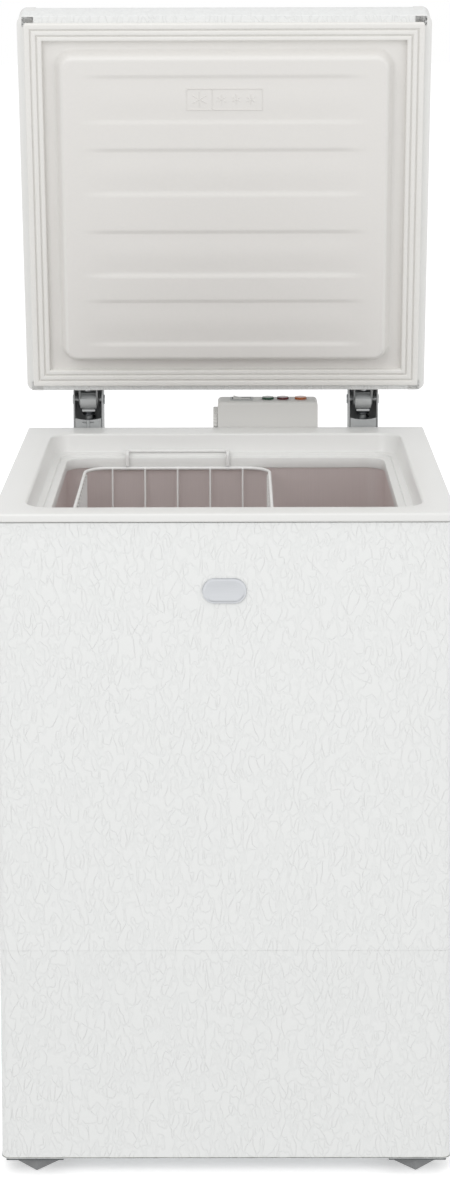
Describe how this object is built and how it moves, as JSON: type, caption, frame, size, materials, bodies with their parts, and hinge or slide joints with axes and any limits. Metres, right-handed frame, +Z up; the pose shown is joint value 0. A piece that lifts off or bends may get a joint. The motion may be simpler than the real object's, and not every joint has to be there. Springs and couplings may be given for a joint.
{
  "type": "chest freezer",
  "caption": "Small chest freezer with a sprung top-hinged lid, rear control box and a hanging wire basket; keeps food frozen in an insulated well.",
  "frame": {"origin": "on the floor, under the middle of the bounding box", "axes": "+Z up, the front faces -Y, +X to the right as seen from the front"},
  "size_m": [0.545, 0.575, 1.3888],
  "materials": {
    "painted_sheet": "embossed white enamel",
    "white_moulding": "satin white",
    "warm_moulding": "satin, slightly warm white",
    "embossed_aluminium": "stucco embossed",
    "galvanised_sheet": "zinc coated",
    "zinc_steel": "bright zinc",
    "spring_steel": "oiled",
    "rigid_foam": "cut foam",
    "bare_aluminium": "drawn tube",
    "copper": "drawn tube",
    "black_enamel": "gloss black",
    "black_rubber": "moulded",
    "black_plastic": "moulded",
    "dark_plastic": "moulded",
    "grey_plastic": "moulded",
    "badge_silver": "satin silver",
    "board_green": "solder mask",
    "lamp_lens": "tinted",
    "soft_seal": "soft white",
    "coated_wire": "white dip coating"
  },
  "bodies": {
    "cabinet": {"cabinet_wrap": "painted_sheet", "back_panel": "galvanised_sheet", "base_pan": "galvanised_sheet", "top_frame": "white_moulding", "liner": "embossed_aluminium", "cabinet_foam": "rigid_foam", "bulkhead": "galvanised_sheet", "evaporator_coil": "bare_aluminium", "condenser_coil": "copper", "corner_plates": "dark_plastic", "foot_front_left": "grey_plastic", "foot_front_right": "grey_plastic", "foot_rear_left": "grey_plastic", "foot_rear_right": "grey_plastic", "front_badge": "badge_silver", "compressor_tray": "galvanised_sheet", "compressor_shell": "black_enamel", "compressor_grommets": "black_rubber", "compressor_bolts": "zinc_steel", "terminal_cover": "black_plastic", "start_relay": "dark_plastic", "filter_drier": "copper", "capillary_tube": "copper", "suction_pipe": "copper", "discharge_pipe": "copper", "rear_cover": "galvanised_sheet", "cover_screws": "zinc_steel", "cord_gland": "black_rubber", "wiring_loom": "black_plastic", "drain_tube": "white_moulding", "drain_plug": "white_moulding", "drain_cap": "white_moulding", "control_housing": "grey_plastic", "control_screws": "zinc_steel", "lamp_board": "board_green", "lamp_lenses": "lamp_lens", "rocker_switch": "dark_plastic", "thermostat_body": "zinc_steel", "thermostat_bulb": "copper", "hinge_housing_left": "grey_plastic", "hinge_housing_right": "grey_plastic", "hinge_pins": "zinc_steel", "hinge_screws": "zinc_steel", "hinge_spring_left": "spring_steel", "hinge_spring_right": "spring_steel"},
    "lid": {"hinge_arm_left": "zinc_steel", "hinge_arm_right": "zinc_steel", "arm_screws": "zinc_steel", "lid_skin": "painted_sheet", "lid_foam": "rigid_foam", "lid_liner": "warm_moulding", "lid_gasket": "soft_seal", "lid_caps": "white_moulding"},
    "plunger_left": {"hinge_plunger_left": "zinc_steel"},
    "plunger_right": {"hinge_plunger_right": "zinc_steel"},
    "rocker": {"fast_freeze_rocker": "dark_plastic"},
    "knob": {"thermostat_knob": "grey_plastic"},
    "basket": {"basket_wires": "coated_wire"},
    "handle_front": {"basket_handle_front": "coated_wire"},
    "handle_rear": {"basket_handle_rear": "coated_wire"}
  },
  "joints": [
    {"name": "lid_hinge", "type": "hinge", "parent": "cabinet", "child": "lid", "pos_m": [0, 0.265, 0.843], "axis": [1, 0, 0], "range_deg": [0, 78]},
    {"name": "plunger_left_slide", "type": "slide", "parent": "cabinet", "child": "plunger_left", "axis": [0, 0, -1], "range_m": [0, 0.00817], "deforming": ["hinge_spring_left"]},
    {"name": "plunger_right_slide", "type": "slide", "parent": "cabinet", "child": "plunger_right", "axis": [0, 0, -1], "range_m": [0, 0.00817], "deforming": ["hinge_spring_right"]},
    {"name": "rocker_tilt", "type": "hinge", "parent": "cabinet", "child": "rocker", "pos_m": [0.022, 0.266, 0.84], "axis": [0, -1, 0], "range_deg": [0, 16]},
    {"name": "knob_turn", "type": "hinge", "parent": "cabinet", "child": "knob", "pos_m": [-0.0142, 0.265, 0.812], "axis": [-1, 0, 0], "range_deg": [0, 270]},
    {"name": "basket_slide", "type": "slide", "parent": "cabinet", "child": "basket", "axis": [1, 0, 0], "range_m": [-0.018, 0.147]},
    {"name": "handle_front_fold", "type": "hinge", "parent": "basket", "child": "handle_front", "pos_m": [-0.065, -0.224, 0.7655], "axis": [-1, 0, 0], "range_deg": [0, 95]},
    {"name": "handle_rear_fold", "type": "hinge", "parent": "basket", "child": "handle_rear", "pos_m": [-0.065, 0.1705, 0.7655], "axis": [1, 0, 0], "range_deg": [0, 95]}
  ],
  "couplings": [
    {"joint": "plunger_left_slide", "follows": "lid_hinge", "m_per_rad": 0.006},
    {"joint": "plunger_right_slide", "follows": "lid_hinge", "m_per_rad": 0.006}
  ]
}
